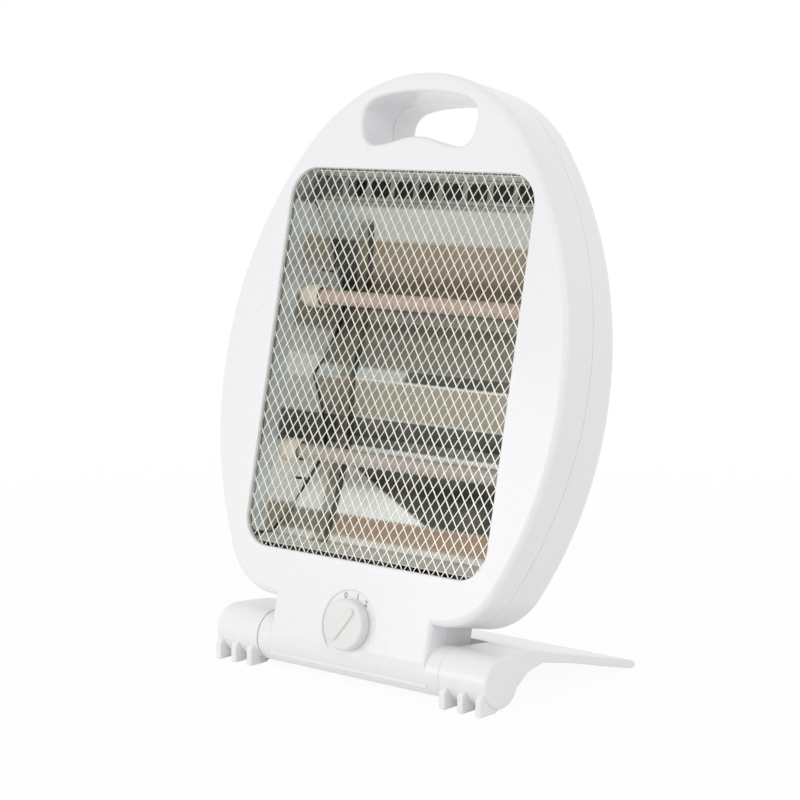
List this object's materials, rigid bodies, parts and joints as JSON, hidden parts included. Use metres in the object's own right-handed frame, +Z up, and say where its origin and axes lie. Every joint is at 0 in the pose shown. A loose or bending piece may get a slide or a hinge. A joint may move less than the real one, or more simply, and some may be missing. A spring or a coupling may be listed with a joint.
{
  "type": "quartz tube heater",
  "caption": "Upright electric radiant heater: egg-shaped casing with carrying handle, mesh-covered tubes and reflector, turn knob, and a low stand on which it tilts.",
  "frame": {"origin": "on the floor, under the middle of the whole heater as pictured, leaning back", "axes": "+Z up, +X to the right as seen from the front, +Y towards the back; the grille faces -Y"},
  "size_m": [0.2806, 0.1636, 0.3804],
  "materials": {
    "white_plastic": "glossy white moulded plastic",
    "stand_plastic": "glossy warm-white moulded plastic",
    "knob_plastic": "satin white moulded plastic",
    "polished_metal": "mirror-polished sheet",
    "mesh_metal": "bright plated expanded metal",
    "frame_metal": "plain sheet steel",
    "quartz": "milky quartz tube, pinkish grey when cold",
    "coil_metal": "oxidised resistance wire",
    "ceramic": "unglazed cream ceramic",
    "black_plastic": "black moulded plastic",
    "screw_metal": "zinc-plated steel",
    "wire_sleeve": "heat-resistant sleeve over stranded wire",
    "brass": "plain brass"
  },
  "bodies": {
    "stand": {"stand": "stand_plastic"},
    "casing": {"front_casing": "white_plastic", "rear_casing": "white_plastic", "grille_mesh": "mesh_metal", "grille_frame": "frame_metal", "reflector": "polished_metal", "reflector_end_left": "polished_metal", "reflector_end_right": "polished_metal", "ceramic_cap_upper_left": "ceramic", "ceramic_cap_upper_right": "ceramic", "ceramic_cap_lower_left": "ceramic", "ceramic_cap_lower_right": "ceramic", "quartz_tube_upper": "quartz", "heating_coil_upper": "coil_metal", "quartz_tube_lower": "quartz", "heating_coil_lower": "coil_metal", "rotary_switch": "black_plastic", "terminal_block": "black_plastic", "thermal_cutout": "frame_metal", "tip_switch_housing": "black_plastic", "cord_gland": "black_plastic", "gland_nut": "black_plastic", "lead_upper_left": "wire_sleeve", "lead_lower_left": "wire_sleeve", "lead_upper_right": "wire_sleeve", "lead_lower_right": "wire_sleeve", "lead_supply": "wire_sleeve", "casing_screw_1": "screw_metal", "casing_screw_2": "screw_metal", "casing_screw_3": "screw_metal", "casing_screw_4": "screw_metal", "casing_screw_5": "screw_metal", "casing_screw_6": "screw_metal", "reflector_screw_1": "screw_metal", "reflector_screw_2": "screw_metal", "reflector_screw_3": "screw_metal", "reflector_screw_4": "screw_metal"},
    "knob": {"knob": "knob_plastic", "switch_shaft": "brass"},
    "tip_weight": {"tip_switch_weight": "brass"}
  },
  "joints": [
    {"name": "tilt", "type": "hinge", "parent": "stand", "child": "casing", "pos_m": [0, -0.05965, 0.01809], "axis": [-1, 0, 0], "range_deg": [-12.15, 8]},
    {"name": "knob_turn", "type": "hinge", "parent": "casing", "child": "knob", "pos_m": [0, -0.07106, 0.03824], "axis": [0, -0.9776, 0.2105], "range_deg": [0, 60]},
    {"name": "tip_weight_swing", "type": "hinge", "parent": "casing", "child": "tip_weight", "pos_m": [0.026, -0.02045, 0.06571], "axis": [1, 0, 0], "range_deg": [-12, 12]}
  ]
}
